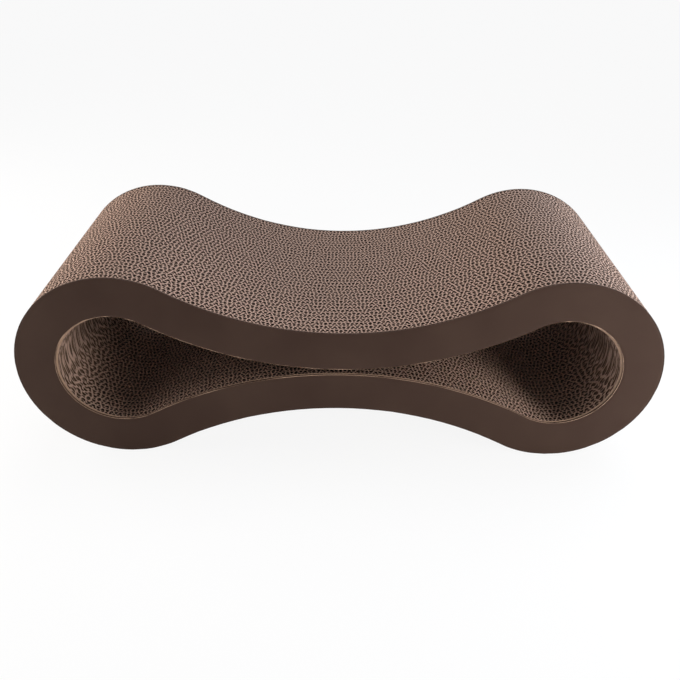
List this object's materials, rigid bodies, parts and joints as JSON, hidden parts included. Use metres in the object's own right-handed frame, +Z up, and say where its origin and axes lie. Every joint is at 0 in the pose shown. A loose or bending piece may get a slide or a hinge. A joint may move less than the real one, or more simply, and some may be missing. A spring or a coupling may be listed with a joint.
{
  "type": "cardboard cat scratcher",
  "caption": "Bone-shaped scratcher lounge for cats: a closed band of upright corrugated boards with round lobes, a dipped middle, an opening through its depth and plain dark covers.",
  "frame": {"origin": "on the floor, under the middle of the scratcher", "axes": "+X along the length, +Y from the front cover to the rear cover, +Z up"},
  "size_m": [0.57, 0.226, 0.18],
  "materials": {
    "corrugated_kraft": "matte",
    "printed_cover": "matte"
  },
  "bodies": {
    "root": {"board_01": "corrugated_kraft", "board_02": "corrugated_kraft", "board_03": "corrugated_kraft", "board_04": "corrugated_kraft", "board_05": "corrugated_kraft", "board_06": "corrugated_kraft", "board_07": "corrugated_kraft", "board_08": "corrugated_kraft", "board_09": "corrugated_kraft", "board_10": "corrugated_kraft", "board_11": "corrugated_kraft", "board_12": "corrugated_kraft", "board_13": "corrugated_kraft", "board_14": "corrugated_kraft", "board_15": "corrugated_kraft", "board_16": "corrugated_kraft", "board_17": "corrugated_kraft", "board_18": "corrugated_kraft", "board_19": "corrugated_kraft", "board_20": "corrugated_kraft", "board_21": "corrugated_kraft", "board_22": "corrugated_kraft", "board_23": "corrugated_kraft", "board_24": "corrugated_kraft", "board_25": "corrugated_kraft", "board_26": "corrugated_kraft", "board_27": "corrugated_kraft", "board_28": "corrugated_kraft", "board_29": "corrugated_kraft", "board_30": "corrugated_kraft", "board_31": "corrugated_kraft", "board_32": "corrugated_kraft", "board_33": "corrugated_kraft", "board_34": "corrugated_kraft", "board_35": "corrugated_kraft", "board_36": "corrugated_kraft", "board_37": "corrugated_kraft", "front_cover": "printed_cover", "rear_cover": "printed_cover"}
  },
  "joints": []
}
